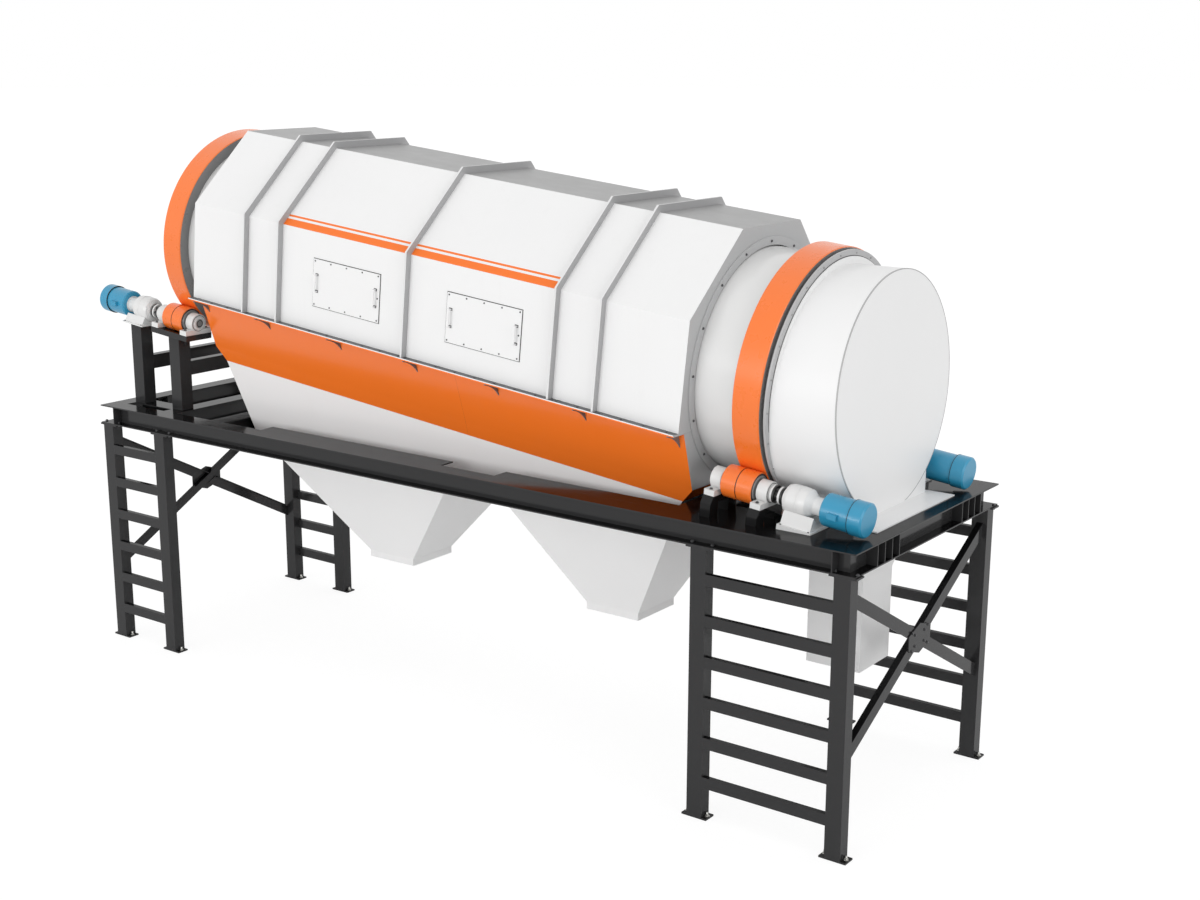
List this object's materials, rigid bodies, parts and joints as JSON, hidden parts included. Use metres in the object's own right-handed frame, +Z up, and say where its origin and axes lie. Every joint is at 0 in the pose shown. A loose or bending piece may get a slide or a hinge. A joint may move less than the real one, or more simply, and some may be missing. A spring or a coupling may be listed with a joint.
{
  "type": "rotary drum screen",
  "caption": "Inclined rotary drum screen on a leg frame, with friction roller drives, cased slotted drum, undersize hoppers and a discharge hood with a chute.",
  "frame": {"origin": "on the floor, under the middle of the machine's overall length and width", "axes": "+X towards the discharge end, +Y towards the back, +Z up"},
  "size_m": [9.4724, 2.71, 5.5763],
  "materials": {
    "frame_paint": "gloss dark grey paint",
    "casing_white": "gloss white paint",
    "casing_grey": "satin grey paint",
    "band_orange": "gloss orange paint",
    "drive_blue": "gloss blue paint",
    "drive_white": "gloss white paint",
    "bright_steel": "turned steel",
    "drum_steel": "mill-finish steel",
    "foot_steel": "galvanised plate"
  },
  "bodies": {
    "frame": {"side_beam_front": "frame_paint", "side_beam_back": "frame_paint", "end_beam_discharge": "frame_paint", "end_beam_feed": "frame_paint", "cross_beams": "frame_paint", "feed_stringers": "frame_paint", "web_stiffeners": "frame_paint", "support_ledges": "frame_paint", "drive_decks": "frame_paint", "casing_seat_plate": "frame_paint", "frame_legs": "frame_paint", "base_plates": "foot_steel", "cap_plates": "foot_steel", "ladder_rungs": "frame_paint", "cross_braces": "frame_paint", "brace_gussets": "frame_paint", "feed_posts": "frame_paint", "post_ties": "frame_paint", "bearing_bases": "frame_paint", "bearing_pedestals": "frame_paint", "bearing_housings": "drive_white", "gear_reducers": "drive_white", "drive_motors": "drive_blue", "motor_cowls": "drive_blue", "junction_boxes": "drive_blue", "reducer_saddles": "drive_white", "upper_cover": "casing_white", "lower_casing": "band_orange", "cover_ribs": "casing_grey", "joint_gussets": "casing_white", "seal_rings": "casing_grey", "access_cover_feed": "casing_white", "access_cover_discharge": "casing_white", "cover_handles": "casing_white", "outlet_hopper_feed": "casing_white", "outlet_hopper_discharge": "casing_white", "discharge_hood": "casing_white", "hood_end_plate": "casing_white", "hood_ring": "casing_grey", "hood_base": "casing_white", "oversize_chute": "casing_white"},
    "drum": {"drum_feed_shell": "drum_steel", "drum_screen": "drum_steel", "drum_discharge_shell": "drum_steel", "drum_flight": "drum_steel", "tyre_feed": "band_orange", "tyre_discharge": "band_orange"},
    "roller_set_feed_front": {"roller_feed_front": "band_orange", "roller_shaft_feed_front": "bright_steel", "pin_coupling_feed_front": "band_orange"},
    "roller_set_feed_back": {"roller_feed_back": "band_orange", "roller_shaft_feed_back": "bright_steel", "pin_coupling_feed_back": "band_orange"},
    "roller_set_discharge_front": {"roller_discharge_front": "band_orange", "roller_shaft_discharge_front": "bright_steel", "pin_coupling_discharge_front": "band_orange"},
    "roller_set_discharge_back": {"roller_discharge_back": "band_orange", "roller_shaft_discharge_back": "bright_steel", "pin_coupling_discharge_back": "band_orange"}
  },
  "joints": [
    {"name": "drum_turn", "type": "hinge", "parent": "frame", "child": "drum", "pos_m": [0.12867, 0, 4.072], "axis": [0.9949, 0, -0.1011], "continuous": true},
    {"name": "roller_turn_feed_front", "type": "hinge", "parent": "frame", "child": "roller_set_feed_front", "pos_m": [-3.54614, -0.94814, 3.61683], "axis": [0.9949, 0, -0.1011], "continuous": true},
    {"name": "roller_turn_feed_back", "type": "hinge", "parent": "frame", "child": "roller_set_feed_back", "pos_m": [-3.54614, 0.94814, 3.61683], "axis": [0.9949, 0, -0.1011], "continuous": true},
    {"name": "roller_turn_discharge_front", "type": "hinge", "parent": "frame", "child": "roller_set_discharge_front", "pos_m": [3.45284, -0.94814, 2.9059], "axis": [0.9949, 0, -0.1011], "continuous": true},
    {"name": "roller_turn_discharge_back", "type": "hinge", "parent": "frame", "child": "roller_set_discharge_back", "pos_m": [3.45284, 0.94814, 2.9059], "axis": [0.9949, 0, -0.1011], "continuous": true}
  ],
  "couplings": [
    {"joint": "roller_turn_feed_front", "follows": "drum_turn", "ratio": -7.9714},
    {"joint": "roller_turn_feed_back", "follows": "drum_turn", "ratio": -7.9714},
    {"joint": "roller_turn_discharge_front", "follows": "drum_turn", "ratio": -7.9714},
    {"joint": "roller_turn_discharge_back", "follows": "drum_turn", "ratio": -7.9714}
  ]
}
